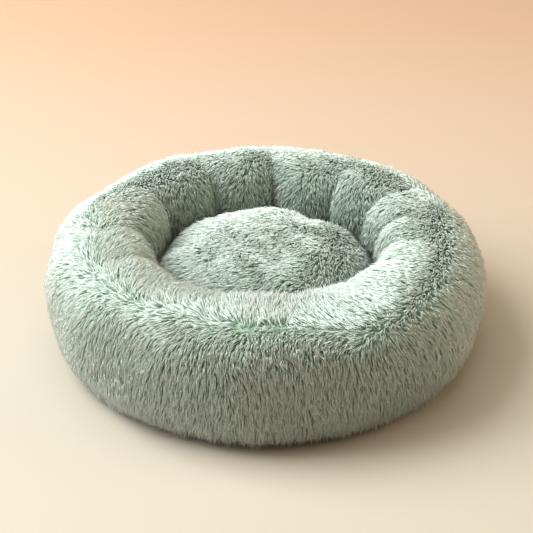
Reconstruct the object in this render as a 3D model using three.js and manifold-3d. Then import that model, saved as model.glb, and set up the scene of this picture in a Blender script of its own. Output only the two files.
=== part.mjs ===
// Round plush pet bed: a fibre-filled ring (the bolster) round a nest, and a loose domed seat cushion in it.
// Millimetres, +Z up. The origin is the middle of the bed's underside, and the zips are at the back (+Y).
import * as THREE from "three";
import { mergeVertices } from "three/addons/utils/BufferGeometryUtils.js";
import Module from "manifold-3d";

const wasm = await Module();
wasm.setup();

// Driving dimensions of the bolster, whose section is a superellipse round a middle circle.
const BED_RADIUS = 296;
const NEST_RADIUS = 150;
const CREST_RADIUS = 202;
const CREST_HEIGHT = 168;
const BOLSTER_MIDDLE_Z = 85;
const BOLSTER_POWER = 2.5;

// Driving dimensions of the seat cushion, a superellipse turned about the bed's axis.
const CUSHION_RADIUS = 146;
const CUSHION_HEIGHT = 126;
const CUSHION_MIDDLE_Z = 62;
const CUSHION_UNDERCUT = 66;
const CUSHION_POWER = 3.2;

// Cloth and wadding thicknesses, and the gap that separate pieces keep.
const PLUSH = 5;
const LINER = 1;
const LINING = 1;
const BASE_CLOTH = 1.6;
const GAP = 0.3;
const LAYER_GAP = 0.4;

// Anti-slip dots under the base.
const DOT_HEIGHT = 2;
const DOT_RADIUS = 4;
const DOT_PITCH = 50;
const DOT_FIELD_RADIUS = 240;
const DOT_SIDES = 6;

// Size 5 coil zips. Each runs round the back between an upper and a lower cloth edge.
const ZIP_ARC = THREE.MathUtils.degToRad(120);
const ZIP_START = THREE.MathUtils.degToRad(30);
const TAPE_THICKNESS = 0.8;
const TAPE_WIDTH = 4.9;
const COIL_WIDTH = 1.5;
const COIL_THICKNESS = 2.2;
const COIL_SPLIT = 1.6;
const STOP_LENGTH = 3;
const ZIP_HEIGHT = COIL_SPLIT + 2 * (COIL_WIDTH + GAP + TAPE_WIDTH);
const SLIDER_LENGTH = 10;
const SLIDER_HEIGHT = 8.4;
const SLIDER_PLATE = 1.2;
const PULL_WIDTH = 7;
const PULL_THICKNESS = 1.2;
const PULL_PIVOT = 1.3;

// Heights and radii that follow from the ones above.
const BASE_TOP = DOT_HEIGHT + BASE_CLOTH;
const LINING_TOP = BASE_TOP + GAP + LINING;
const GUSSET_RADIUS = 264;
const GUSSET_FOOT = 5.4;
const BED_ZIP_Z = GUSSET_FOOT + GAP + ZIP_HEIGHT / 2;
const PLUSH_EDGE = GUSSET_FOOT + 3 * GAP + ZIP_HEIGHT;
const CUSHION_FLOOR = LINING_TOP + GAP;
const DISH_RADIUS = 136.8;
const DISH_CLOTH = 1;
const DISH_FOOT = 9.2;
const CUSHION_ZIP_Z = DISH_FOOT + GAP + ZIP_HEIGHT / 2;
const CUSHION_EDGE = DISH_FOOT + 3 * GAP + ZIP_HEIGHT;

// Fineness of the turned pieces, round the axis and along their sections.
const TURNS = 40;
const ZIP_TURNS = 80;
const SECTION_STEP = THREE.MathUtils.degToRad(18);

const plush = { color: 0x9fb096, roughness: 0.95 };
const lining = { color: 0x8d9b85, roughness: 0.9 };
const liner = { color: 0xe9e7e0, roughness: 0.9 };
const fibre = { color: 0xf4f3ef, roughness: 1 };
const oxford = { color: 0x6f776a, roughness: 0.85 };
const tape = { color: 0x8a9882, roughness: 0.9 };
const coil = { color: 0x7f8d78, roughness: 0.45 };
const metal = { color: 0xb9bab6, roughness: 0.35, metalness: 1 };
const label = { color: 0xf2f0ea, roughness: 0.7 };

const bed = new THREE.Group();

function addMesh(parent, name, geometry, material) {
  const mesh = new THREE.Mesh(geometry, new THREE.MeshStandardMaterial(material));
  mesh.name = name;
  parent.add(mesh);
  return mesh;
}

// A closed geometry as a manifold-3d solid, and back.
function solidOf(geometry) {
  const bare = geometry.clone();
  bare.deleteAttribute("normal");
  bare.deleteAttribute("uv");
  const merged = mergeVertices(bare, 1e-3);
  const vertProperties = merged.attributes.position.array;
  const triVerts = new Uint32Array(merged.index.array);
  return new wasm.Manifold(new wasm.Mesh({ numProp: 3, vertProperties, triVerts }));
}

function geometryOf(solid) {
  const { vertProperties, triVerts } = solid.getMesh();
  const geometry = new THREE.BufferGeometry();
  geometry.setAttribute("position", new THREE.BufferAttribute(vertProperties, 3));
  geometry.setIndex(new THREE.BufferAttribute(triVerts, 1));
  geometry.computeVertexNormals();
  return geometry;
}

// A profile of [radius, height] points turned about Z.
function turned(profile, turns = TURNS) {
  const points = profile.map(([radius, height]) => new THREE.Vector2(radius, height));
  return new THREE.LatheGeometry(points, turns).rotateX(Math.PI / 2);
}

// A ring of rectangular section, anticlockwise from its lower inner corner.
function ring(inner, outer, low, high, turns = TURNS) {
  return turned([[inner, low], [outer, low], [outer, high], [inner, high], [inner, low]], turns);
}

function block(x0, x1, y0, y1, z0, z1) {
  const geometry = new THREE.BoxGeometry(x1 - x0, y1 - y0, z1 - z0);
  return geometry.translate((x0 + x1) / 2, (y0 + y1) / 2, (z0 + z1) / 2);
}

// A pie slice from angle start to angle end, reaching past every ring that it cuts.
function wedge(start, end, low, high) {
  const reach = 2 * BED_RADIUS;
  const slice = new THREE.Shape();
  slice.moveTo(0, 0);
  slice.lineTo(reach * Math.cos(start), reach * Math.sin(start));
  slice.absarc(0, 0, reach, start, end, false);
  slice.closePath();
  const options = { depth: high - low, bevelEnabled: false, curveSegments: 16 };
  return new THREE.ExtrudeGeometry(slice, options).translate(0, 0, low);
}

// Part of a ring, cut at both ends by planes through the axis.
function arcStrip(inner, outer, low, high, start, end) {
  const whole = solidOf(ring(inner, outer, low, high, ZIP_TURNS));
  return geometryOf(whole.intersect(solidOf(wedge(start, end, low - 1, high + 1))));
}

function power(value, exponent) {
  return Math.sign(value) * Math.abs(value) ** exponent;
}

// Angles from start up to end. Those between are multiples of the section step, so that the facets of nested
// layers lie side by side and never cross.
function sectionAngles(start, end) {
  const angles = [start];
  const slack = SECTION_STEP / 10;
  for (let i = Math.ceil((start + slack) / SECTION_STEP); i * SECTION_STEP < end - slack; i++)
    angles.push(i * SECTION_STEP);
  return [...angles, end];
}

// The bolster's section from one angle to another, moved inwards by inset. Angle 0 faces away from the nest,
// a quarter turn is the crest, and a half turn faces the nest.
function bolsterSection(inset, start, end) {
  const height = CREST_HEIGHT - BOLSTER_MIDDLE_Z - inset;
  return sectionAngles(start, end).map((angle) => {
    const wide = Math.cos(angle) > 0 ? BED_RADIUS - CREST_RADIUS : CREST_RADIUS - NEST_RADIUS;
    const radius = CREST_RADIUS + (wide - inset) * power(Math.cos(angle), 2 / BOLSTER_POWER);
    return [radius, BOLSTER_MIDDLE_Z + height * power(Math.sin(angle), 2 / BOLSTER_POWER)];
  });
}

// How far below angle 0, or below a half turn, the section moved in by inset reaches height z.
function bolsterAngle(inset, z) {
  const share = (BOLSTER_MIDDLE_Z - z) / (CREST_HEIGHT - BOLSTER_MIDDLE_Z - inset);
  return Math.asin(share ** (BOLSTER_POWER / 2));
}

// The plush sleeve: up the outside, over the crest and down into the nest. It is open underneath.
function bolsterCover() {
  const foot = LINING_TOP + GAP;
  const outside = bolsterSection(0, -bolsterAngle(0, PLUSH_EDGE), Math.PI + bolsterAngle(0, foot));
  const inside = bolsterSection(
    PLUSH, -bolsterAngle(PLUSH, PLUSH_EDGE), Math.PI + bolsterAngle(PLUSH, foot + PLUSH));
  return turned([...outside, ...inside.reverse(), outside[0]]);
}

// The non-woven bag that holds the filling, with the seam underneath left as a slit.
function bolsterLiner() {
  const slit = 0.03;
  const start = slit - Math.PI / 2;
  const end = 1.5 * Math.PI - slit;
  const outside = bolsterSection(PLUSH + LAYER_GAP, start, end);
  const inside = bolsterSection(PLUSH + LAYER_GAP + LINER, start, end);
  return turned([...outside, ...inside.reverse(), outside[0]]);
}

function bolsterFilling() {
  const inset = PLUSH + LINER + 2 * LAYER_GAP;
  const section = bolsterSection(inset, -Math.PI / 2, 1.5 * Math.PI).slice(1);
  return turned([section[section.length - 1], ...section]);
}

// The coated base cloth, one piece with its moulded dots, which are what the bed stands on.
function basePanel() {
  const disc = new THREE.CylinderGeometry(GUSSET_RADIUS - BASE_CLOTH - GAP,
    GUSSET_RADIUS - BASE_CLOTH - GAP, BASE_CLOTH, TURNS);
  disc.rotateX(Math.PI / 2).translate(0, 0, DOT_HEIGHT + BASE_CLOTH / 2);
  const sunk = BASE_CLOTH / 2;
  const dots = [];
  const rows = Math.ceil(DOT_FIELD_RADIUS / DOT_PITCH) + 1;
  for (let row = -rows; row <= rows; row++) {
    for (let column = -rows; column <= rows; column++) {
      const x = (column + (Math.abs(row) % 2) / 2) * DOT_PITCH;
      const y = row * DOT_PITCH * Math.sin(Math.PI / 3);
      if (Math.hypot(x, y) > DOT_FIELD_RADIUS) continue;
      const dot = new THREE.CylinderGeometry(DOT_RADIUS, 0.8 * DOT_RADIUS, DOT_HEIGHT + sunk, DOT_SIDES);
      dot.rotateX(Math.PI / 2).translate(x, y, (DOT_HEIGHT + sunk) / 2);
      dots.push(solidOf(dot));
    }
  }
  return geometryOf(solidOf(disc).add(wasm.Manifold.union(dots)));
}

// The low upright band of base cloth, cut away at the back where the zip takes its place.
function baseGusset() {
  const band = ring(GUSSET_RADIUS - BASE_CLOTH, GUSSET_RADIUS, DOT_HEIGHT, PLUSH_EDGE - GAP);
  const margin = GAP / GUSSET_RADIUS;
  const notch = wedge(
    ZIP_START - margin, ZIP_START + ZIP_ARC + margin, GUSSET_FOOT, PLUSH_EDGE + GAP);
  return geometryOf(solidOf(band).subtract(solidOf(notch)));
}

function nestLining() {
  const radius = 180;
  const disc = new THREE.CylinderGeometry(radius, radius, LINING, TURNS);
  return disc.rotateX(Math.PI / 2).translate(0, 0, LINING_TOP - LINING / 2);
}

// A blank folded label that hangs from the seam above the gusset.
function careLabel() {
  const width = 22;
  const length = 14;
  const thickness = 0.6;
  const angle = THREE.MathUtils.degToRad(165);
  const face = GUSSET_RADIUS + GAP;
  const top = PLUSH_EDGE - GAP;
  const tag = block(face, face + thickness, -width / 2, width / 2, top - length, top);
  return tag.rotateZ(angle);
}

// The cushion's section, moved inwards by inset, from height low up to the top. Below its widest place it would
// reach down by undercut.
function cushionSection(inset, low, undercut) {
  const up = CUSHION_HEIGHT - CUSHION_MIDDLE_Z - inset;
  const start = -Math.asin(((CUSHION_MIDDLE_Z - low) / undercut) ** (CUSHION_POWER / 2));
  const section = sectionAngles(start, Math.PI / 2).map((angle) => {
    const radius = (CUSHION_RADIUS - inset) * power(Math.cos(angle), 2 / CUSHION_POWER);
    const tall = angle > 0 ? up : undercut;
    return [radius, CUSHION_MIDDLE_Z + tall * power(Math.sin(angle), 2 / CUSHION_POWER)];
  });
  section[section.length - 1][0] = 0;
  return section;
}

function cushionTop() {
  const outside = cushionSection(0, CUSHION_EDGE, CUSHION_UNDERCUT);
  const inside = cushionSection(PLUSH, CUSHION_EDGE, CUSHION_UNDERCUT - PLUSH);
  return turned([...inside.reverse(), ...outside]);
}

// The plain cloth dish under the cushion, cut away at the back for its zip.
function cushionBase() {
  const inner = DISH_RADIUS - DISH_CLOTH;
  const corner = 6;
  const low = CUSHION_FLOOR;
  const top = CUSHION_EDGE - GAP;
  const dish = turned([
    [0, low], [DISH_RADIUS - corner, low], [DISH_RADIUS, low + DISH_CLOTH + 1], [DISH_RADIUS, top],
    [inner, top], [inner, low + 2 * DISH_CLOTH + 1], [inner - corner, low + DISH_CLOTH],
    [0, low + DISH_CLOTH],
  ]);
  const margin = GAP / DISH_RADIUS;
  const notch = wedge(ZIP_START - margin, ZIP_START + ZIP_ARC + margin, DISH_FOOT, top + GAP);
  return geometryOf(solidOf(dish).subtract(solidOf(notch)));
}

function cushionLiner() {
  const hole = 20;
  const inset = PLUSH + LAYER_GAP;
  const low = CUSHION_FLOOR + DISH_CLOTH + LAYER_GAP;
  const outside = cushionSection(inset, low, CUSHION_MIDDLE_Z - low);
  const inside = cushionSection(inset + LINER, low + LINER, CUSHION_MIDDLE_Z - low - LINER);
  outside[0][0] = hole;
  inside[0][0] = hole;
  return turned([...inside.reverse(), ...outside]);
}

function cushionFilling() {
  const low = CUSHION_FLOOR + DISH_CLOTH + LINER + 2 * LAYER_GAP;
  const inset = PLUSH + LINER + 2 * LAYER_GAP;
  const section = cushionSection(inset, low, CUSHION_MIDDLE_Z - low);
  section[0][0] = 0;
  return turned(section);
}

// The slider at angle 0: two plates with turned-in edges, the bridge that parts the coils, and the bail.
function zipSlider(radius, z) {
  const half = SLIDER_LENGTH / 2;
  const tall = SLIDER_HEIGHT / 2;
  const lip = 0.9;
  const slot = TAPE_THICKNESS / 2 + 0.5;
  const inside = COIL_THICKNESS / 2 + 0.5;
  const outside = inside + SLIDER_PLATE;
  const bridge = 0.45;
  const bailInner = 2.4;
  const bailOuter = 3.4;
  const bailWidth = 1.2;
  const bailHalf = 3.6;
  const bailFoot = 1.2;
  const pieces = [block(-inside - 0.1, inside + 0.1, -half, -half + 4, -bridge, bridge)];
  for (const side of [-1, 1]) {
    const faces = [side * inside, side * outside].sort((a, b) => a - b);
    const edges = [side * slot, side * (inside + 0.1)].sort((a, b) => a - b);
    pieces.push(block(...faces, -half, half, -tall, tall));
    pieces.push(block(...edges, -half, half, -tall, -tall + lip));
    pieces.push(block(...edges, -half, half, tall - lip, tall));
  }
  pieces.push(block(outside - 0.1, outside + bailOuter, -bailHalf, bailFoot - bailHalf, -bailWidth, bailWidth));
  pieces.push(block(outside - 0.1, outside + bailOuter, bailHalf - bailFoot, bailHalf, -bailWidth, bailWidth));
  pieces.push(block(outside + bailInner, outside + bailOuter, -bailHalf, bailHalf, -bailWidth, bailWidth));
  const joined = wasm.Manifold.union(pieces.map(solidOf));
  return geometryOf(joined).translate(radius, 0, z);
}

// The pull tab at angle 0: it lies along the zip, with the bail through its eye, and turns about an upright bar.
function zipPull(radius, z, length) {
  const half = PULL_WIDTH / 2;
  const bar = PULL_THICKNESS / 2;
  const eyeEnd = 5.4;
  const eyeHalf = 1.8;
  const outline = new THREE.Shape();
  outline.moveTo(-bar, -half);
  outline.lineTo(length - half, -half);
  outline.absarc(length - half, 0, half, -Math.PI / 2, Math.PI / 2, false);
  outline.lineTo(-bar, half);
  outline.closePath();
  const eye = new THREE.Path();
  eye.moveTo(bar, -eyeHalf);
  eye.lineTo(bar, eyeHalf);
  eye.lineTo(eyeEnd, eyeHalf);
  eye.lineTo(eyeEnd, -eyeHalf);
  eye.closePath();
  outline.holes.push(eye);
  const options = { depth: PULL_THICKNESS, bevelEnabled: false, curveSegments: 6 };
  const tab = new THREE.ExtrudeGeometry(outline, options).translate(0, 0, -PULL_THICKNESS / 2);
  const away = COIL_THICKNESS / 2 + 0.5 + SLIDER_PLATE + PULL_PIVOT;
  return tab.rotateX(Math.PI / 2).rotateZ(Math.PI / 2).translate(radius + away, 0, z);
}

// One closed zip round the back: tapes, coils, end stops, and a slider with its pull at the closed end.
function addZip(parent, prefix, radius, z, pullLength) {
  const end = ZIP_START + ZIP_ARC;
  const stop = STOP_LENGTH / radius;
  const coilEdge = COIL_SPLIT / 2 + COIL_WIDTH;
  const tapeEdge = coilEdge + GAP + TAPE_WIDTH;
  for (const [name, side] of [["upper", 1], ["lower", -1]]) {
    const tapeZ = [side * (coilEdge + GAP), side * tapeEdge].map((height) => z + height);
    const coilZ = [(side * COIL_SPLIT) / 2, side * coilEdge].map((height) => z + height);
    addMesh(parent, `${prefix}_tape_${name}`,
      arcStrip(radius - TAPE_THICKNESS / 2, radius + TAPE_THICKNESS / 2,
        Math.min(...tapeZ), Math.max(...tapeZ), ZIP_START, end), tape);
    addMesh(parent, `${prefix}_coil_${name}`,
      arcStrip(radius - COIL_THICKNESS / 2, radius + COIL_THICKNESS / 2,
        Math.min(...coilZ), Math.max(...coilZ), ZIP_START + 1.5 * stop, end - 1.5 * stop), coil);
  }
  for (const [name, from] of [["closed", ZIP_START + stop / 4], ["open", end - 1.25 * stop]]) {
    addMesh(parent, `${prefix}_stop_${name}`,
      arcStrip(radius - COIL_THICKNESS / 2, radius + COIL_THICKNESS / 2,
        z - coilEdge, z + coilEdge, from, from + stop), metal);
  }
  const atRest = ZIP_START + 2 * stop + SLIDER_LENGTH / 2 / radius;
  addMesh(parent, `${prefix}_slider`, zipSlider(radius, z).rotateZ(atRest), metal);
  addMesh(parent, `${prefix}_pull`, zipPull(radius, z, pullLength).rotateZ(atRest), metal);
}

addMesh(bed, "bolster_cover", bolsterCover(), plush);
addMesh(bed, "bolster_liner", bolsterLiner(), liner);
addMesh(bed, "bolster_filling", bolsterFilling(), fibre);
addMesh(bed, "nest_lining", nestLining(), lining);
addMesh(bed, "base_panel", basePanel(), oxford);
addMesh(bed, "base_gusset", baseGusset(), oxford);
addMesh(bed, "care_label", careLabel(), label);
addZip(bed, "bed_zip", GUSSET_RADIUS - BASE_CLOTH / 2, BED_ZIP_Z, 20);

const cushion = new THREE.Group();
bed.add(cushion);
addMesh(cushion, "cushion_cover", cushionTop(), plush);
addMesh(cushion, "cushion_base", cushionBase(), lining);
addMesh(cushion, "cushion_liner", cushionLiner(), liner);
addMesh(cushion, "cushion_filling", cushionFilling(), fibre);
addZip(cushion, "cushion_zip", DISH_RADIUS - DISH_CLOTH / 2, CUSHION_ZIP_Z, 16);

export default bed;
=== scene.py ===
"""A round plush pet bed: long pile on a pleated ring and on a loose domed cushion, over a cloth base with its zips.

Metres, +Z up. The two padded forms are swollen by a cloth simulation. The pile is made of tapered locks planted on
them, turned over along a comb direction and drawn together into clumps. An azimuth is an angle about +Z from +X.
"""
import math

import bpy
import numpy as np
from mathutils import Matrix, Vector


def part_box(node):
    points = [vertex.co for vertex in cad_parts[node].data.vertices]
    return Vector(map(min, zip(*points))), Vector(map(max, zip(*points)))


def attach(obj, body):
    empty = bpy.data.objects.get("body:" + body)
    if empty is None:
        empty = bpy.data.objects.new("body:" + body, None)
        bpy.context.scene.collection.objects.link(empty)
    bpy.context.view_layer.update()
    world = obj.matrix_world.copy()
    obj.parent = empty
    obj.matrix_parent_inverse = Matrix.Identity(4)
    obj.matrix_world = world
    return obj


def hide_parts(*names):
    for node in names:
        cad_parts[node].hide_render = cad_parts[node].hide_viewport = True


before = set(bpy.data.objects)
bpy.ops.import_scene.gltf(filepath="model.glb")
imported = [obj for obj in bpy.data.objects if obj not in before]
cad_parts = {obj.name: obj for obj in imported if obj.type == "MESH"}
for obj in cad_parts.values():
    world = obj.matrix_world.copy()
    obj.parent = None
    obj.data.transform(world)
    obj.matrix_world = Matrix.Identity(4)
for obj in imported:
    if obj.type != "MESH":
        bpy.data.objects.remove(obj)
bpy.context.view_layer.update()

draws = np.random.default_rng(20)

UP = np.array((0.0, 0.0, 1.0))
FULL = 2 * math.pi
FLOOR_GAP = 0.0005
NOISE_WAVES = 7
NOISE_LEVEL = 1.6

# Places taken from the frame
BED_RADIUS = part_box("bolster_cover")[1].x
CREST_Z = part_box("bolster_cover")[1].z
PLUSH_EDGE_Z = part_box("base_gusset")[1].z
GUSSET_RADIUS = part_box("base_gusset")[1].x
CUSHION_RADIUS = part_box("cushion_cover")[1].x
CUSHION_TOP_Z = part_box("cushion_cover")[1].z
CUSHION_EDGE_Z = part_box("cushion_cover")[0].z
LINING_TOP_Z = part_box("nest_lining")[1].z

# The bolster's form, under the pile. The puffs say how far a pleat lies below the lobes beside it.
CREST_RADIUS = 0.202
NEST_GAP = 0.004
NEST_RADIUS = CUSHION_RADIUS + NEST_GAP
BACKING_INSET = 0.007
BOLSTER_MIDDLE_Z = 0.085
BOLSTER_POWER = 2.5
LOW_OUTER_POWER = 0.9
NEST_PUFF = 0.034
OUTER_PUFF = 0.002
ARCH_POWER = 0.3
BOLSTER_LUMP = 0.0025
BOLSTER_LUMP_SPAN = 0.16
BOLSTER_ROWS, BOLSTER_COLUMNS = 288, 96
PLEATS = np.radians((8, 29, 54.5, 86, 117, 149, 180, 204, 231, 256, 281, 306, 331, 351))
PLEAT_DEPTHS = np.array((0.55, 0.6, 0.85, 0.85, 0.8, 0.6, 1.0, 1.0, 0.4, 0.4, 0.35, 0.4, 0.4, 0.45))

# The cushion's form
CUSHION_MIDDLE_Z = 0.062
CUSHION_POWER = 3.5
CUSHION_UNDERCUT = 1.9
CUSHION_RISE = 0.007
CUSHION_INSET = 0.005
CUSHION_LUMP = 0.003
CUSHION_LUMP_SPAN = 0.12
CUSHION_PILE_END = math.radians(115)
CUSHION_ROWS, CUSHION_COLUMNS = 200, 64

# Cloth simulation of the two forms
SWELL_PRESSURE = 4
SWELL_QUALITY = 4
SWELL_STEPS = 20
SWELL_LIMIT = 0.005
HELD_BESIDE_PLEAT = 0.04
HELD_ABOVE_EDGE = 0.004

# Pile. Angles are in degrees, for a loosely and for a firmly combed lock.
LOCK_LENGTH = 0.021
LONGEST_SHARE = 1.15
LENGTH_LOSS = 0.6
LOCK_WIDTH = 0.0013
WIDTH_SPREAD = 0.25
LOCK_SPACING = 0.0020
LOCK_BELLY = 0.5
ROOT_DEPTH = 0.002
LOOSE_LIFT, FIRM_LIFT = 56, 44
LOOSE_REST, FIRM_REST = 26, 9
ANGLE_SPREAD = 9
FIRM_WISH = 0.3
STRAY = 0.17
SMALL_CLUMP = 0.0055
LARGE_CLUMP = 0.014
SMALL_PULL = 0.42
LARGE_PULL = 0.16
CLUMP_WARP = 0.45
BOLSTER_PILE_PIECES = 9
CUSHION_PILE_PIECES = 2

# The bolster's comb. A parting is given by its section, the angle round the bolster.
PARTING = 1.38
PARTING_WANDER = 0.1
PARTING_SHARPNESS = 3.5
PARTING_WIDTH = 0.4

# The nest's floor cloth
NEST_CLOTH_ROWS, NEST_CLOTH_COLUMNS = 540, 60
RIPPLES = 72
RIPPLE_HEIGHT = 0.0004

# Zips
ZIP_START = math.radians(30)
ZIP_ARC = math.radians(120)
STOP_LENGTH = 0.003
COIL_MARGIN = 1.4 * STOP_LENGTH
COIL_PITCH = 0.0011
COIL_DEPTH = 0.0011
COIL_LACING = 0.00025
COIL_SEAT = 0.0004
COIL_STEPS = 8
CORD_STEPS = 120
WIRE = 0.00036
WIRE_CORNERS = 3
CORD_CORNERS = 6
TRIMMED_MIDDLE = ZIP_START + ZIP_ARC / 2 + 0.1
TRIMMED_HALF, UNTRIMMED_HALF = 1.2, 1.35
TRIMMED_LENGTH = 0.002
TRIM_SLOPE = 0.8

# Stitches
STITCH_PITCH = 0.0032
STITCH_HALF = 0.38 * STITCH_PITCH
STITCH_INSET = 0.0012
FOOT_STITCH_INSET = 0.0016
THREAD_RADIUS = 0.00035

# Materials
# The pile's root colour is painted shade deep in the pile; its tip colour is the pile's own.
PILE_ROOT_PAINTED_SHADE, PILE_TIP = (0.37, 0.59, 0.43), (0.78, 0.89, 0.76)
OXFORD_DARK, OXFORD_LIGHT = (0.12, 0.14, 0.11), (0.22, 0.25, 0.20)
BUMP_STRENGTH = 0.6


def power(value, exponent):
    """The value's size raised to the exponent, with its sign kept."""
    return np.sign(value) * np.abs(value) ** exponent


def smooth_step(low, high, value):
    """0 on low's side, 1 on high's side, and a smooth S between. low may be the larger one."""
    t = np.clip((value - low) / (high - low), 0, 1)
    return t * t * (3 - 2 * t)


def normalised(vectors):
    """Each vector divided by its length."""
    return vectors / np.maximum(np.linalg.norm(vectors, axis=-1, keepdims=True), 1e-9)


def wave_noise(points, wavelength, seed):
    """A smooth field from about -1 to 1: a scaled sum of sines in random directions, each near one wavelength."""
    rng = np.random.default_rng(seed)
    total = np.zeros(points.shape[:-1])
    for _ in range(NOISE_WAVES):
        direction = rng.normal(size=3)
        direction *= FULL / wavelength * rng.uniform(0.6, 1.6) / np.linalg.norm(direction)
        total += np.sin(points @ direction + rng.uniform(0, FULL))
    return total / math.sqrt(NOISE_WAVES / 2) / NOISE_LEVEL


def wave_vectors(points, wavelength, seed):
    """Three independent fields of wave_noise as the parts of a vector."""
    return np.stack([wave_noise(points, wavelength, seed + i) for i in range(3)], -1)


def on_ring(radius, azimuth, height):
    """Points at a radius from the axis, an azimuth and a height."""
    return np.stack(np.broadcast_arrays(radius * np.cos(azimuth), radius * np.sin(azimuth), height), -1)


def new_mesh(name, points, loops, sizes, attributes=None):
    """A smooth-shaded mesh piece from vertex positions, flat corner indices and the corner count of each face."""
    mesh = bpy.data.meshes.new(name)
    mesh.vertices.add(len(points))
    mesh.vertices.foreach_set("co", np.ascontiguousarray(points, np.float32).ravel())
    mesh.loops.add(len(loops))
    mesh.loops.foreach_set("vertex_index", np.ascontiguousarray(loops, np.int32))
    mesh.polygons.add(len(sizes))
    starts = np.concatenate(([0], np.cumsum(sizes)[:-1])).astype(np.int32)
    mesh.polygons.foreach_set("loop_start", starts)
    mesh.polygons.foreach_set("use_smooth", np.ones(len(sizes), bool))
    for key, values in (attributes or {}).items():
        layer = mesh.attributes.new(key, "FLOAT", "POINT")
        layer.data.foreach_set("value", values.astype(np.float32))
    mesh.update(calc_edges=True)
    mesh.validate()
    piece = bpy.data.objects.new(name, mesh)
    bpy.context.scene.collection.objects.link(piece)
    return piece


def repeated(name, points, faces, attributes=None):
    """A mesh piece of many copies of one small closed shape. points is copies by corners by 3."""
    copies, corners = points.shape[:2]
    pattern = np.concatenate([np.array(face) for face in faces])
    loops = (np.arange(copies)[:, None] * corners + pattern).ravel()
    return new_mesh(name, points.reshape(-1, 3), loops, np.tile([len(face) for face in faces], copies), attributes)


def ring_faces(rows, columns):
    """Quads of a grid that closes on itself both ways, as flat corner indices and face sizes."""
    i, j = np.meshgrid(np.arange(rows), np.arange(columns), indexing="ij")
    i2, j2 = (i + 1) % rows, (j + 1) % columns
    quads = np.stack((i * columns + j, i2 * columns + j, i2 * columns + j2, i * columns + j2), -1)
    return quads.reshape(-1), np.full(rows * columns, 4)


def dome_faces(rows, columns):
    """Faces of a grid that closes round the azimuth and ends in a pole at both ends of its columns.

    The poles are the last two vertices. Corner order makes the faces point out where the columns run from the top
    pole to the bottom one.
    """
    i, j = np.meshgrid(np.arange(rows), np.arange(columns - 1), indexing="ij")
    i2 = (i + 1) % rows
    quads = np.stack((i * columns + j, i * columns + j + 1, i2 * columns + j + 1, i2 * columns + j), -1)
    ring = np.arange(rows)
    after = (ring + 1) % rows
    top, bottom = rows * columns, rows * columns + 1
    caps = np.concatenate((
        np.stack((np.full(rows, top), ring * columns, after * columns), -1),
        np.stack((np.full(rows, bottom), after * columns + columns - 1, ring * columns + columns - 1), -1)))
    loops = np.concatenate((quads.reshape(-1), caps.reshape(-1)))
    return loops, np.concatenate((np.full(rows * (columns - 1), 4), np.full(2 * rows, 3)))


def inflated(name, points, loops, sizes, held):
    """The points of a closed form blown up by inside pressure, by cloth simulation.

    Points where held is true stay. No point moves further than SWELL_LIMIT.
    """
    piece = new_mesh(name, points, loops, sizes)
    piece.vertex_groups.new(name="held").add(np.flatnonzero(held).tolist(), 1.0, "REPLACE")
    cloth = piece.modifiers.new("cloth", "CLOTH")
    cloth.settings.quality = SWELL_QUALITY
    cloth.settings.use_pressure = True
    cloth.settings.uniform_pressure_force = SWELL_PRESSURE
    cloth.settings.vertex_group_mass = "held"
    cloth.settings.effector_weights.gravity = 0
    cloth.point_cache.frame_start = 1
    cloth.point_cache.frame_end = SWELL_STEPS
    for step in range(1, SWELL_STEPS + 1):
        bpy.context.scene.frame_set(step)
    swollen = piece.evaluated_get(bpy.context.evaluated_depsgraph_get())
    blown = np.empty(points.size, np.float32)
    swollen.data.vertices.foreach_get("co", blown)
    bpy.context.scene.frame_set(1)
    bpy.data.objects.remove(piece)
    move = blown.reshape(-1, 3) - points
    far = np.linalg.norm(move, axis=-1, keepdims=True)
    return points + move * np.minimum(1, SWELL_LIMIT / np.maximum(far, 1e-9))


def pleat_phase(azimuth, section):
    """Where a point lies between its two neighbouring pleats, from 0 to 1, and the depth of the nearer one.

    Half way between them the depth is the mean of the two. The pleats lean a little as they run out over the crest,
    by a slow wave that differs from one to the next.
    """
    lean = 0.05 * np.sin(3 * azimuth + 1.0) * smooth_step(2.6, 1.0, section)
    turned = (azimuth + lean) % FULL
    edges = np.concatenate((PLEATS[-1:] - FULL, PLEATS, PLEATS[:1] + FULL))
    depths = np.concatenate((PLEAT_DEPTHS[-1:], PLEAT_DEPTHS, PLEAT_DEPTHS[:1]))
    after = np.clip(np.searchsorted(edges, turned), 1, len(edges) - 1)
    low, high = edges[after - 1], edges[after]
    share = (turned - low) / (high - low)
    depth = np.where(share < 0.5, depths[after - 1], depths[after])
    fade = smooth_step(0, 0.5, np.abs(share - 0.5))
    middle = 0.5 * (depths[after - 1] + depths[after])
    return share, middle + (depth - middle) * fade


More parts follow.
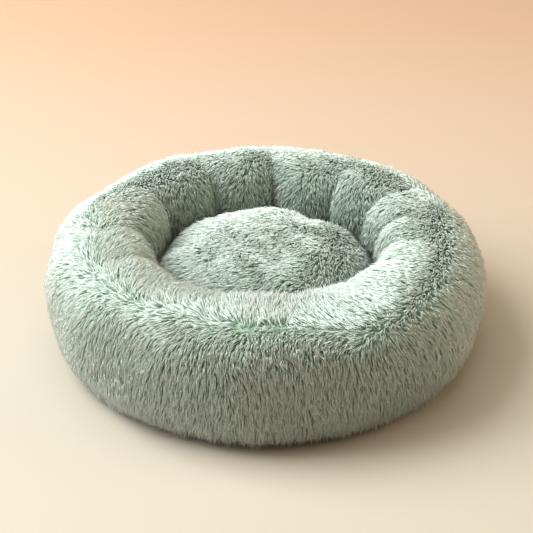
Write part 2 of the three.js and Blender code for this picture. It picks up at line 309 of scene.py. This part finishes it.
def bolster_points(azimuth, section):
    """The pleated ring: a superellipse section round the crest circle, flat underneath, with puffed lobes.

    section 0 faces out, a quarter turn is the crest, and a half turn faces the nest. The exponent is higher, and the
    form fuller, low on the outer side. Between two pleats the surface bulges by a low power of a parabola across
    them, most on the nest side. Over the gusset it stays above its edge.
    """
    share, depth = pleat_phase(azimuth, section)
    arch = (4 * share * (1 - share) + 1e-4) ** ARCH_POWER
    nest_side = smooth_step(1.0, 2.3, section) * smooth_step(4.7, 4.2, section)
    outer_side = smooth_step(-0.9, 0.2, section) * smooth_step(2.2, 1.4, section)
    puff = (NEST_PUFF * nest_side + OUTER_PUFF * outer_side) * depth * (arch - 1.0)
    wide_out = BED_RADIUS - CREST_RADIUS - BACKING_INSET
    wide_in = CREST_RADIUS - NEST_RADIUS - BACKING_INSET * 0.6
    wide = np.where(np.cos(section) > 0, wide_out, wide_in) + puff
    tall = CREST_Z - BOLSTER_MIDDLE_Z - BACKING_INSET + 0.6 * puff
    fullness = BOLSTER_POWER + LOW_OUTER_POWER * smooth_step(0.1, -0.5, section) * smooth_step(2.0, 1.0, section)
    radius = CREST_RADIUS + wide * power(np.cos(section), 2 / fullness)
    height = BOLSTER_MIDDLE_Z + tall * power(np.sin(section), 2 / fullness)
    height = np.maximum(height, LINING_TOP_Z + 0.001)
    seam = smooth_step(GUSSET_RADIUS + 0.006, GUSSET_RADIUS + 0.001, radius)
    height = np.where(np.cos(section) > 0, np.maximum(height, seam * (PLUSH_EDGE_Z + 0.001)), height)
    points = on_ring(radius, azimuth, height)
    away = normalised(points - on_ring(CREST_RADIUS, azimuth, BOLSTER_MIDDLE_Z))
    lumps = BOLSTER_LUMP * wave_noise(points, BOLSTER_LUMP_SPAN, 5) * smooth_step(0.01, 0.05, height)
    return points + away * lumps[..., None]


def cushion_points(azimuth, ray):
    """The domed cushion: a superellipse turned about the axis, with a slow lumpiness.

    ray 0 is the middle of the top, and it grows along the surface to the middle of the bottom at a half turn. The
    lower half is cut off flat at the cushion's edge, where it is as wide as the cloth base.
    """
    tall_up = CUSHION_TOP_Z - CUSHION_MIDDLE_Z + CUSHION_RISE
    tall_down = (CUSHION_MIDDLE_Z - CUSHION_EDGE_Z) * CUSHION_UNDERCUT
    tall = np.where(np.cos(ray) > 0, tall_up, tall_down)
    radius = (CUSHION_RADIUS - CUSHION_INSET) * power(np.sin(ray), 2 / CUSHION_POWER)
    points = on_ring(radius, azimuth, CUSHION_MIDDLE_Z + tall * power(np.cos(ray), 2 / CUSHION_POWER))
    lumps = wave_noise(points, CUSHION_LUMP_SPAN, 11) * smooth_step(0.05, 0.1, points[..., 2])
    points[..., 2] += CUSHION_LUMP * lumps
    points[..., 2] = np.maximum(points[..., 2], CUSHION_EDGE_Z + 0.0003)
    return points


def vertex_normals(points):
    """Outward normals of a grid surface, from the cross product of its two directions of travel."""
    along = np.gradient(points, axis=0)
    along[0] = along[-1] = points[1] - points[-2]
    return normalised(np.cross(along, np.gradient(points, axis=1)))


def plant(points, azimuth, other, spacing, share):
    """Roots spread evenly over a grid surface: each cell gets its area over spacing squared, at random places in it.

    share thins them, given azimuth and the other parameter. Returns the roots, their outward normals and their two
    parameters.
    """
    a, b = points[:-1, :-1], points[1:, :-1]
    c, d = points[1:, 1:], points[:-1, 1:]
    area = np.linalg.norm(np.cross(c - a, d - b), axis=-1) / 2
    middle_azimuth = (azimuth[:-1, :-1] + azimuth[1:, 1:]) / 2
    middle_other = (other[:-1, :-1] + other[1:, 1:]) / 2
    wanted = area / spacing**2 * share(middle_azimuth, middle_other)
    count = np.floor(wanted + draws.random(wanted.shape)).astype(int).ravel()
    cell = np.repeat(np.arange(count.size), count)
    s, t = draws.random((2, cell.size, 1))

    def inside(grid):
        first, second, third, fourth = (
            g.reshape(count.size, -1)[cell] for g in (grid[:-1, :-1], grid[1:, :-1], grid[1:, 1:], grid[:-1, 1:]))
        return (1 - s) * ((1 - t) * first + t * fourth) + s * ((1 - t) * second + t * third)

    return (inside(points), normalised(inside(vertex_normals(points))),
            inside(azimuth[..., None])[:, 0], inside(other[..., None])[:, 0])


def clump_pull(roots, tips, size, seed):
    """For each lock, the way from its tip to the mean tip of its clump, and the clump's number.

    Clumps are the cells of a warped lattice. The three multipliers are primes that mix a cell's place into one key.
    """
    warped = roots + CLUMP_WARP * size * wave_vectors(roots, 3.1 * size, seed)
    cells = np.floor(warped / size).astype(np.int64)
    key = (cells[:, 0] * 73856093) ^ (cells[:, 1] * 19349663) ^ (cells[:, 2] * 83492791)
    _, member = np.unique(key, return_inverse=True)
    number = np.bincount(member)
    means = np.stack([np.bincount(member, tips[:, k]) / number for k in range(3)], -1)
    return means[member] - tips, member


def lock_mesh(name, roots, normals, along, length, width, lift, rest):
    """Tapered locks. Each is closed: a three-sided foot in the backing, a three-sided ring half way and a tip.

    Its middle line's direction turns evenly from the lift angle at the root to the rest angle at the tip, both
    measured from the surface, and hangs down where the surface faces down. The line is then drawn towards the mean
    tips of its small and its large clump, by a share that grows with the square of the way along. No point goes below
    the floor. way is 0 at the root and grows with the length. tint is a random number of the lock and of its clumps.
    """
    side = normalised(np.cross(normals, along))
    size = length[:, None]
    under = np.clip(-normals[:, 2:], 0, 1)
    start = along * np.cos(lift)[:, None] + normals * np.sin(lift)[:, None]
    end = along * np.cos(rest)[:, None] + normals * np.sin(rest)[:, None]
    start = normalised(start * (1 - 0.6 * under) - UP * 1.2 * under)
    end = normalised(end * (1 - 0.9 * under) - UP * (0.1 + 1.6 * under))

    def line(way):
        turned = start * (way - way * way / 2) + end * way * way / 2
        return roots + size * turned - normals * ROOT_DEPTH * (1 - way)

    tips = line(1.0)
    small, small_clump = clump_pull(roots, tips, SMALL_CLUMP, 31)
    large, large_clump = clump_pull(roots, tips, LARGE_CLUMP, 47)
    pull = SMALL_PULL * small + LARGE_PULL * large
    half = width[:, None] / 2
    corners = []
    for way in (0.0, LOCK_BELLY):
        middle = line(way) + pull * way * way
        corners += [middle - side * half, middle + side * half, middle + normals * half * 1.3]
    points = np.stack(corners + [tips + pull], 1)
    points[..., 2] = np.maximum(points[..., 2], FLOOR_GAP)
    faces = ((0, 2, 1), (0, 1, 4, 3), (1, 2, 5, 4), (2, 0, 3, 5), (3, 4, 6), (4, 5, 6), (5, 3, 6))
    reach = np.clip(length / LOCK_LENGTH, 0, 1.2)[:, None]
    way = reach * np.array((0, 0, 0, LOCK_BELLY, LOCK_BELLY, LOCK_BELLY, 1.0))
    rng = np.random.default_rng(77)
    tint = 0.6 * rng.random(len(roots))
    tint += 0.25 * rng.random(small_clump.max() + 1)[small_clump]
    tint += 0.15 * rng.random(large_clump.max() + 1)[large_clump]
    return repeated(name, points, faces, {"way": way.ravel(), "tint": np.repeat(tint, 7)})


def bolster_comb(roots, azimuth, section):
    """Comb wish on the bolster, whose length says how firmly the pile is laid.

    Away from a parting to both sides by a tanh of the distance from it, down the walls, into the pleats by a sine of
    the way across the lobe, and askew along the ring. The skew is a bell over the parting, strongest at the right, and
    turns over at the back. The parting runs along the outer shoulder. It is lower in front, and lowest at the back.
    """
    around = on_ring(1.0, azimuth + math.pi / 2, 0.0)
    outward = on_ring(1.0, azimuth, 0.0)
    front = smooth_step(-0.2, 0.7, -np.sin(azimuth))
    back = smooth_step(-0.1, 0.5, np.sin(azimuth))
    right = smooth_step(-0.4, 0.5, np.cos(azimuth)) * front
    parting = PARTING - 0.2 * front - 0.35 * back - 0.12 * right + PARTING_WANDER * wave_noise(roots, 0.2, 61)
    side = np.tanh((parting - section) * PARTING_SHARPNESS)
    down = smooth_step(0.9, 0.1, section) + 0.8 * smooth_step(1.9, 2.6, section)
    share, depth = pleat_phase(azimuth, section)
    into_pleat = 0.6 * np.sin(FULL * (share - 0.5)) * depth * smooth_step(1.3, 2.2, section)
    skew = 0.05 * front - 0.36 * (1 - back) * np.exp(-(((section - parting) / PARTING_WIDTH) ** 2))
    skew += 0.45 * back * smooth_step(0.6, 1.2, section)
    skew -= 0.9 * smooth_step(0.2, 0.8, np.cos(azimuth - 0.1)) * smooth_step(0.8, 1.3, section)
    swirl = 0.2 * wave_vectors(roots, 0.14, 71) + 0.15 * wave_vectors(roots, 0.035, 83)
    return (0.9 * side)[:, None] * outward + (into_pleat + skew)[:, None] * around - UP * down[:, None] + swirl


def bolster_share(azimuth, section):
    """No pile underneath, and half of it under the bed's edge and low on the nest wall, out of sight."""
    outer = 0.5 + 0.5 * smooth_step(-1.1, -0.8, section)
    inner = 0.5 + 0.5 * smooth_step(math.pi + 0.5, math.pi + 0.1, section)
    return np.where((section > -1.2) & (section < math.pi + 1.1), outer * inner, 0)


def cushion_comb(roots, azimuth, ray):
    """Comb wish on the cushion: towards the left and a little to the front, and down at the edge."""
    outward = on_ring(1.0, azimuth, 0.0)
    swirl = 0.35 * wave_vectors(roots, 0.2, 91) + 0.2 * wave_vectors(roots, 0.035, 97)
    edge = smooth_step(0.3, 1.1, ray)[:, None]
    return -0.7 * edge * UP + 0.5 * edge * outward + swirl + np.array((-0.5, -0.42, 0))


def cushion_share(azimuth, ray):
    """No pile on the underside."""
    return (ray < CUSHION_PILE_END).astype(float)


def make_pile(name, grid, comb, share, edge, parts, material):
    """Locks planted on a surface grid and combed, as pieces that each hold one arc of the azimuth.

    Where the comb wish is weak along the surface, the locks stand up. Over the zips and the label they are trimmed,
    so that they end above the plush's edge at height edge.
    """
    roots, normals, azimuth, other = plant(*grid, LOCK_SPACING, share)
    wish = comb(roots, azimuth, other) + draws.normal(size=roots.shape) * STRAY
    wish -= normals * np.sum(wish * normals, -1, keepdims=True)
    firm = smooth_step(0.0, FIRM_WISH, np.linalg.norm(wish, axis=-1))
    along = normalised(wish)
    count = len(roots)
    length = LOCK_LENGTH * (LONGEST_SHARE - LENGTH_LOSS * draws.random(count) ** 1.5)
    width = LOCK_WIDTH * draws.uniform(1 - WIDTH_SPREAD, 1 + WIDTH_SPREAD, count)
    width *= 1 + 0.2 * smooth_step(0.3, 0.9, normals[:, 2])
    over_zip = smooth_step(math.cos(UNTRIMMED_HALF), math.cos(TRIMMED_HALF), np.cos(azimuth - TRIMMED_MIDDLE))
    trimmed = np.minimum(length, TRIMMED_LENGTH + TRIM_SLOPE * np.maximum(roots[:, 2] - edge, 0))
    length = length + (trimmed - length) * over_zip
    lift = np.radians(LOOSE_LIFT + (FIRM_LIFT - LOOSE_LIFT) * firm + ANGLE_SPREAD * draws.normal(size=count))
    rest = np.radians(LOOSE_REST + (FIRM_REST - LOOSE_REST) * firm + ANGLE_SPREAD * draws.normal(size=count))
    for k in range(parts):
        held = np.floor(azimuth / FULL * parts).astype(int) % parts == k
        piece = lock_mesh(f"{name}_pile_{k + 1}", roots[held], normals[held], along[held],
                          length[held], width[held], lift[held], rest[held])
        piece.data.materials.append(material)
        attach(piece, "bed" if name == "bolster" else "cushion")


def node_material(name, roughness):
    """A new node material, its tree and its shader."""
    material = bpy.data.materials.new(name)
    material.use_nodes = True
    shader = material.node_tree.nodes["Principled BSDF"]
    shader.inputs["Roughness"].default_value = roughness
    return material, material.node_tree, shader


def maths(tree, operation, first, second=None):
    """A Math node's result. The inputs are sockets or numbers."""
    node = tree.nodes.new("ShaderNodeMath")
    node.operation = operation
    for socket, value in zip(node.inputs, (first, second)):
        if isinstance(value, bpy.types.NodeSocket):
            tree.links.new(value, socket)
        elif value is not None:
            socket.default_value = value
    return node.outputs["Value"]


def object_axes(tree):
    """The X, Y and Z sockets of Object coordinates."""
    place = tree.nodes.new("ShaderNodeTexCoord")
    split = tree.nodes.new("ShaderNodeSeparateXYZ")
    tree.links.new(place.outputs["Object"], split.inputs["Vector"])
    return [split.outputs[axis] for axis in "XYZ"]


def noise(tree, scale):
    """The value of noise on Object coordinates."""
    place = tree.nodes.new("ShaderNodeTexCoord")
    node = tree.nodes.new("ShaderNodeTexNoise")
    node.inputs["Scale"].default_value = scale
    tree.links.new(place.outputs["Object"], node.inputs["Vector"])
    return node.outputs["Fac"]


def ramp(tree, value, low, high, start=0.0, stop=1.0):
    """A colour ramp from low to high over start to stop of the value."""
    node = tree.nodes.new("ShaderNodeValToRGB")
    node.color_ramp.elements[0].position = start
    node.color_ramp.elements[0].color = (*low, 1)
    node.color_ramp.elements[1].position = stop
    node.color_ramp.elements[1].color = (*high, 1)
    tree.links.new(value, node.inputs["Fac"])
    return node.outputs["Color"]


def bumped(tree, shader, value, height):
    """Puts a bump of the given height in metres on the shader's normal."""
    bump = tree.nodes.new("ShaderNodeBump")
    bump.inputs["Strength"].default_value = BUMP_STRENGTH
    bump.inputs["Distance"].default_value = height
    tree.links.new(value, bump.inputs["Height"])
    tree.links.new(bump.outputs["Normal"], shader.inputs["Normal"])


def pile_material():
    """Plush pile: its own pale colour at the tip, darkened to deep green towards the root as painted shade deep in the
    pile, with a tint for each lock and its clump.
    """
    material, tree, shader = node_material("plush_pile", 0.75)
    way = tree.nodes.new("ShaderNodeAttribute")
    way.attribute_name = "way"
    tint = tree.nodes.new("ShaderNodeAttribute")
    tint.attribute_name = "tint"
    bright = tree.nodes.new("ShaderNodeMapRange")
    bright.inputs["To Min"].default_value = 0.76
    bright.inputs["To Max"].default_value = 1.10
    tree.links.new(tint.outputs["Fac"], bright.inputs["Value"])
    scaled = tree.nodes.new("ShaderNodeVectorMath")
    scaled.operation = "SCALE"
    # Ramp from the painted root shade to the pile's own tip colour along each lock
    tree.links.new(ramp(tree, way.outputs["Fac"], PILE_ROOT_PAINTED_SHADE, PILE_TIP, 0.15, 0.9), scaled.inputs[0])
    tree.links.new(bright.outputs["Result"], scaled.inputs["Scale"])
    tree.links.new(scaled.outputs["Vector"], shader.inputs["Base Color"])
    shader.inputs["Subsurface Weight"].default_value = 0.7
    shader.inputs["Subsurface Radius"].default_value = (1.0, 1.0, 1.0)
    shader.inputs["Subsurface Scale"].default_value = 0.004
    shader.inputs["Sheen Weight"].default_value = 0.35
    shader.inputs["Sheen Roughness"].default_value = 0.5
    return material


def backing_material():
    """The knitted backing under the pile, mottled between the locks."""
    material, tree, shader = node_material("plush_backing", 0.95)
    grain = noise(tree, 300)
    tree.links.new(ramp(tree, grain, (0.30, 0.42, 0.31), (0.38, 0.50, 0.38)), shader.inputs["Base Color"])
    bumped(tree, shader, grain, 0.0005)
    return material


def woven_material(name, dark, light, pitch, lie, roughness=0.85):
    """Plain weave: threads as sines a pitch apart, with a slow mottle.

    On flat cloth and on an upright band the weave is the product of two sines, along X and Y, or round the axis and
    up. On a bent cloth it is the mean of three, along X, Y and Z.
    """
    material, tree, shader = node_material(name, roughness)
    x, y, z = object_axes(tree)
    if lie == "band":
        x, y = maths(tree, "MULTIPLY", maths(tree, "ARCTAN2", y, x), GUSSET_RADIUS), z
    threads = [maths(tree, "SINE", maths(tree, "MULTIPLY", way, FULL / pitch)) for way in (x, y, z)]
    if lie == "bent":
        weave = maths(tree, "DIVIDE", maths(tree, "ADD", maths(tree, "ADD", *threads[:2]), threads[2]), 3)
    else:
        weave = maths(tree, "MULTIPLY", *threads[:2])
    mottle = maths(tree, "MULTIPLY", noise(tree, 60), 0.9)
    value = maths(tree, "ADD", maths(tree, "MULTIPLY", weave, 0.3), mottle)
    tree.links.new(ramp(tree, value, dark, light, 0.1, 0.9), shader.inputs["Base Color"])
    bumped(tree, shader, weave, pitch / 5)
    shader.inputs["Sheen Weight"].default_value = 0.2
    return material


def lining_material():
    """Brushed knit lining."""
    return woven_material("brushed_lining", (0.22, 0.29, 0.22), (0.32, 0.40, 0.31), 0.0007, "bent", 0.95)


def coil_material():
    """Drawn nylon of the zip coils, slightly mottled."""
    material, tree, shader = node_material("zip_nylon", 0.4)
    colour = ramp(tree, noise(tree, 900), (0.36, 0.43, 0.34), (0.50, 0.57, 0.47), 0.3, 0.7)
    tree.links.new(colour, shader.inputs["Base Color"])
    shader.inputs["Subsurface Weight"].default_value = 0.1
    shader.inputs["Subsurface Scale"].default_value = 0.001
    return material


def metal_material():
    """Brushed plated metal: fine scratches along Z, and darker where handling has dulled it."""
    material, tree, shader = node_material("zip_plating", 0.3)
    shader.inputs["Metallic"].default_value = 1.0
    x, y, z = object_axes(tree)
    stretched = tree.nodes.new("ShaderNodeCombineXYZ")
    for socket, value in zip(stretched.inputs, (x, y, maths(tree, "MULTIPLY", z, 0.08))):
        tree.links.new(value, socket)
    scratches = tree.nodes.new("ShaderNodeTexNoise")
    scratches.inputs["Scale"].default_value = 2600
    tree.links.new(stretched.outputs["Vector"], scratches.inputs["Vector"])
    dull = noise(tree, 160)
    tree.links.new(ramp(tree, dull, (0.52, 0.52, 0.50), (0.74, 0.74, 0.72), 0.35, 0.65), shader.inputs["Base Color"])
    worn = tree.nodes.new("ShaderNodeMapRange")
    worn.inputs["To Min"].default_value = 0.22
    worn.inputs["To Max"].default_value = 0.48
    tree.links.new(scratches.outputs["Fac"], worn.inputs["Value"])
    tree.links.new(worn.outputs["Result"], shader.inputs["Roughness"])
    bumped(tree, shader, scratches.outputs["Fac"], 0.00002)
    return material


def thread_material():
    """Sewing thread: two plies as stripes that slant across each stitch."""
    material, tree, shader = node_material("sewing_thread", 0.7)
    x, y, z = object_axes(tree)
    slant = maths(tree, "ADD", maths(tree, "MULTIPLY", maths(tree, "ARCTAN2", y, x), GUSSET_RADIUS), z)
    plies = maths(tree, "SINE", maths(tree, "MULTIPLY", slant, FULL / 0.0006))
    value = maths(tree, "ADD", maths(tree, "MULTIPLY", plies, 0.4), 0.5)
    tree.links.new(ramp(tree, value, (0.44, 0.52, 0.42), (0.62, 0.70, 0.59)), shader.inputs["Base Color"])
    return material


def make_bolster(backing, pile):
    """The bolster's padded form, held at its pleats and underneath while it swells, and its pile."""
    rows, columns = BOLSTER_ROWS, BOLSTER_COLUMNS
    azimuth, section = np.meshgrid(np.linspace(0, FULL, rows + 1),
                                   np.linspace(-math.pi / 2, 1.5 * math.pi, columns + 1), indexing="ij")
    points = bolster_points(azimuth, section)[:-1, :-1].reshape(-1, 3)
    loops, sizes = ring_faces(rows, columns)
    share, _ = pleat_phase(azimuth, section)
    at_pleat = (np.minimum(share, 1 - share) < HELD_BESIDE_PLEAT) & (section > 1.2)
    below = (section < -0.9) | (section > math.pi + 0.9)
    held = (at_pleat | below)[:-1, :-1].ravel()
    points = inflated("bolster_blown", points, loops, sizes, held)
    form = new_mesh("bolster_plush", points, loops, sizes)
    form.data.materials.append(backing)
    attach(form, "bed")
    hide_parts("bolster_cover", "bolster_liner", "bolster_filling")
    grid = points.reshape(rows, columns, 3)
    grid = np.concatenate((grid, grid[:1]), 0)
    grid = np.concatenate((grid, grid[:, :1]), 1)
    make_pile("bolster", (grid, azimuth, section), bolster_comb, bolster_share, PLUSH_EDGE_Z,
              BOLSTER_PILE_PIECES, pile)


def make_cushion(backing, pile):
    """The cushion's padded form, held at its lower edge while it swells, and its pile."""
    rows, columns = CUSHION_ROWS, CUSHION_COLUMNS
    azimuth, ray = np.meshgrid(np.linspace(0, FULL, rows + 1), np.linspace(0, math.pi, columns + 1), indexing="ij")
    grid = cushion_points(azimuth, ray)
    loops, sizes = dome_faces(rows, columns - 1)
    points = np.concatenate((grid[:-1, 1:-1].reshape(-1, 3), grid[0, :1], grid[0, -1:]))
    held = points[:, 2] < CUSHION_EDGE_Z + HELD_ABOVE_EDGE
    points = inflated("cushion_blown", points, loops, sizes, held)
    form = new_mesh("cushion_plush", points, loops, sizes)
    form.data.materials.append(backing)
    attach(form, "cushion")
    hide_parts("cushion_cover", "cushion_liner", "cushion_filling")
    grid[:-1, 1:-1] = points[:-2].reshape(rows, columns - 1, 3)
    grid[:, 0], grid[:, -1] = points[-2], points[-1]
    grid[-1] = grid[0]
    # Turned round, so that the grid's normals point out
    turned = (grid[:, ::-1], azimuth[:, ::-1], ray[:, ::-1])
    make_pile("cushion", turned, cushion_comb, cushion_share, CUSHION_EDGE_Z, CUSHION_PILE_PIECES, pile)


def make_nest_cloth(lining):
    """The nest's floor cloth: a disc with two faces and an edge, gathered into fine ripples towards its seam.

    It lies flat where the cushion rests. The ripples are a sine of the azimuth whose phase wanders. way runs from the
    middle of the top face, over the edge, to the middle of the bottom face.
    """
    low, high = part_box("nest_lining")
    rows, columns = NEST_CLOTH_ROWS, NEST_CLOTH_COLUMNS
    azimuth, way = np.meshgrid(np.arange(rows) * FULL / rows, np.linspace(0, 1, columns + 1), indexing="ij")
    reach = np.minimum(1, 2.1 * np.minimum(way, 1 - way))
    face = np.clip((0.5 - way) * 45, -1, 1)
    phase = RIPPLES * azimuth + 2 * wave_noise(on_ring(1.0, azimuth, 0.0), 0.6, 23)
    ripple = RIPPLE_HEIGHT * smooth_step(0.78, 0.95, reach) * np.sin(phase)
    grid = on_ring(high.x * reach, azimuth, (low.z + high.z) / 2 + (high.z - low.z) / 2 * face + ripple)
    points = np.concatenate((grid[:, 1:-1].reshape(-1, 3), grid[0, :1], grid[0, -1:]))
    piece = new_mesh("nest_cloth", points, *dome_faces(rows, columns - 1))
    piece.data.materials.append(lining)
    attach(piece, "bed")
    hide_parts("nest_lining")


def tube(name, rings):
    """A closed tube through rings of corners, flat at both ends. rings is steps by corners by 3."""
    steps, corners = rings.shape[:2]
    i, j = np.meshgrid(np.arange(steps - 1), np.arange(corners), indexing="ij")
    j2 = (j + 1) % corners
    quads = np.stack((i * corners + j, i * corners + j2, (i + 1) * corners + j2, (i + 1) * corners + j), -1)
    loops = np.concatenate((quads.reshape(-1), np.arange(corners)[::-1], (steps - 1) * corners + np.arange(corners)))
    sizes = np.concatenate((np.full((steps - 1) * corners, 4), (corners, corners)))
    return new_mesh(name, rings.reshape(-1, 3), loops, sizes)


def make_coils(prefix, body, material):
    """The two halves of a zip's coil, each a three-sided wire on an oval helix along the zip's arc, and its cord.

    Each half reaches from its tape's edge to just past the zip's middle line, half a turn behind the other, so the
    two lace together.
    """
    lower, upper = (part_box(f"{prefix}_tape_{half}") for half in ("lower", "upper"))
    middle = (lower[1].z + upper[0].z) / 2
    for half, side, edge in (("upper", 1, upper[0].z), ("lower", -1, lower[1].z)):
        node = f"{prefix}_coil_{half}"
        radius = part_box(node)[1].y - COIL_DEPTH
        inner, outer = middle - side * COIL_LACING, edge + side * COIL_SEAT
        centre, tall = (inner + outer) / 2, abs(outer - inner) / 2 - WIRE
        margin = COIL_MARGIN / radius
        arc = ZIP_ARC - 2 * margin
        turns = int(arc * radius / COIL_PITCH)
        way, angle = np.meshgrid(np.linspace(0, 1, turns * COIL_STEPS + 1),
                                 np.arange(WIRE_CORNERS) * FULL / WIRE_CORNERS, indexing="ij")
        azimuth = ZIP_START + margin + arc * way + WIRE * np.sin(angle) / radius
        turn = FULL * turns * way
        reach = COIL_DEPTH - WIRE + WIRE * np.cos(angle)
        points = on_ring(radius + reach * np.cos(turn), azimuth,
                         centre - side * (tall + WIRE * np.cos(angle)) * np.sin(turn))
        wire = tube(f"{prefix}_helix_{half}", points)
        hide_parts(node)
        way, angle = np.meshgrid(np.linspace(0, 1, CORD_STEPS + 1),
                                 np.arange(CORD_CORNERS) * FULL / CORD_CORNERS, indexing="ij")
        points = on_ring(radius + (COIL_DEPTH - 2.2 * WIRE) * np.cos(angle), ZIP_START + margin + arc * way,
                         centre + side * 2 * WIRE + (tall - 2 * WIRE) * np.sin(angle))
        cord = tube(f"{prefix}_cord_{half}", points)
        for piece in (wire, cord):
            piece.data.materials.append(material)
            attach(piece, body)


def stitch_row(name, body, radius, height, start, arc, material):
    """A row of lockstitches on an upright round seam: each a closed four-sided spindle that dips at both ends."""
    count = int(arc * radius / STITCH_PITCH)
    azimuth = start + arc * (np.arange(count) + 0.5) / count
    half = STITCH_HALF / radius
    corners = [on_ring(radius - THREAD_RADIUS, azimuth - half, height)]
    for angle in np.arange(4) * FULL / 4:
        corners.append(on_ring(radius + THREAD_RADIUS * math.cos(angle), azimuth,
                               height + THREAD_RADIUS * math.sin(angle)))
    corners.append(on_ring(radius - THREAD_RADIUS, azimuth + half, height))
    faces = ((0, 1, 2), (0, 2, 3), (0, 3, 4), (0, 4, 1), (5, 2, 1), (5, 3, 2), (5, 4, 3), (5, 1, 4))
    piece = repeated(name, np.stack(corners, 1), faces)
    piece.data.materials.append(material)
    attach(piece, body)


def make_seams():
    """Lockstitch along both edges of each zip, and along the gusset's foot."""
    thread = thread_material()
    for prefix, body in (("bed_zip", "bed"), ("cushion_zip", "cushion")):
        for half in ("upper", "lower"):
            low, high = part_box(f"{prefix}_tape_{half}")
            away = STITCH_INSET if half == "upper" else -STITCH_INSET
            edge = high.z if half == "upper" else low.z
            stitch_row(f"{prefix}_stitches_{half}", body, high.y, edge - away, ZIP_START, ZIP_ARC, thread)
    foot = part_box("base_gusset")[0].z
    stitch_row("gusset_stitches", "bed", GUSSET_RADIUS, foot + FOOT_STITCH_INSET, 0.0, FULL, thread)


def finish_nodes(lining):
    """Materials for the nodes that keep their own shape."""
    oxford = woven_material("oxford_cloth", OXFORD_DARK, OXFORD_LIGHT, 0.0009, "flat")
    band = woven_material("oxford_band", OXFORD_DARK, OXFORD_LIGHT, 0.0009, "band")
    tape = woven_material("zip_tape_weave", (0.22, 0.28, 0.20), (0.33, 0.40, 0.30), 0.0006, "band")
    satin = woven_material("label_satin", (0.80, 0.79, 0.75), (0.90, 0.89, 0.86), 0.0004, "band", 0.5)
    metal = metal_material()
    finishes = {"base_panel": oxford, "base_gusset": band, "cushion_base": lining, "care_label": satin}
    for prefix in ("bed_zip", "cushion_zip"):
        for part in ("stop_closed", "stop_open", "slider", "pull"):
            finishes[f"{prefix}_{part}"] = metal
        for half in ("upper", "lower"):
            finishes[f"{prefix}_tape_{half}"] = tape
    for name, material in finishes.items():
        piece = bpy.data.objects[name]
        for slot in piece.material_slots:
            slot.link = "OBJECT"
            slot.material = material


def make_stage():
    """A plain pale floor that warms towards the back, and area lights.

    A key and a weaker side light stand at the left, a top light above, and a weak warm fill at the right. All aim at
    the bed.
    """
    bpy.ops.mesh.primitive_plane_add(size=14)
    floor = bpy.context.object
    floor.name = "floor"
    material, tree, shader = node_material("floor", 0.9)
    depth = tree.nodes.new("ShaderNodeMapRange")
    depth.inputs["From Min"].default_value = -0.1
    depth.inputs["From Max"].default_value = 1.2
    tree.links.new(object_axes(tree)[1], depth.inputs["Value"])
    tree.links.new(ramp(tree, depth.outputs["Result"], (0.55, 0.49, 0.40), (0.63, 0.41, 0.265)),
                   shader.inputs["Base Color"])
    floor.data.materials.append(material)
    for name, place, size, watts, colour in (
        ("key", (-2.5, 0.35, 3.0), 2.6, 203, (0.94, 1.0, 1.03)),
        ("side", (-3.2, -0.3, 1.0), 2.2, 68, (0.94, 1.0, 1.03)),
        ("top", (-0.2, 0.1, 3.5), 3.0, 47, (0.98, 0.97, 0.93)),
        ("fill", (3.1, -0.1, 1.6), 2.4, 44, (1.0, 0.86, 0.68)),
    ):
        light = bpy.data.lights.new(name, "AREA")
        light.color = colour
        light.size = size
        light.energy = watts
        lamp = bpy.data.objects.new(name, light)
        lamp.location = place
        lamp.rotation_euler = (Vector((0, 0, 0.08)) - Vector(place)).to_track_quat("-Z", "Y").to_euler()
        bpy.context.scene.collection.objects.link(lamp)
    world = bpy.data.worlds.new("studio")
    world.use_nodes = True
    world.node_tree.nodes["Background"].inputs["Color"].default_value = (1.0, 0.74, 0.48, 1)
    world.node_tree.nodes["Background"].inputs["Strength"].default_value = 0.20
    bpy.context.scene.world = world
    bpy.context.scene.view_settings.view_transform = "Standard"


def make_camera():
    """The camera, in front of the bed and above it."""
    distance = 1.8
    elevation = math.radians(30.6)
    base_height = 0.09
    aim = Vector((0.001, 0.025, 0.0845))
    camera = bpy.data.cameras.new("camera")
    camera.sensor_width = 36
    camera.lens = 88.8
    eye = bpy.data.objects.new("camera", camera)
    eye.location = (0, -distance * math.cos(elevation), base_height + distance * math.sin(elevation))
    eye.rotation_euler = (aim - eye.location).to_track_quat("-Z", "Y").to_euler()
    bpy.context.scene.collection.objects.link(eye)
    bpy.context.scene.camera = eye


make_camera()
knit, fur, brushed, nylon = backing_material(), pile_material(), lining_material(), coil_material()
make_bolster(knit, fur)
make_cushion(knit, fur)
make_nest_cloth(brushed)
make_coils("bed_zip", "bed", nylon)
make_coils("cushion_zip", "cushion", nylon)
make_seams()
finish_nodes(brushed)
make_stage()
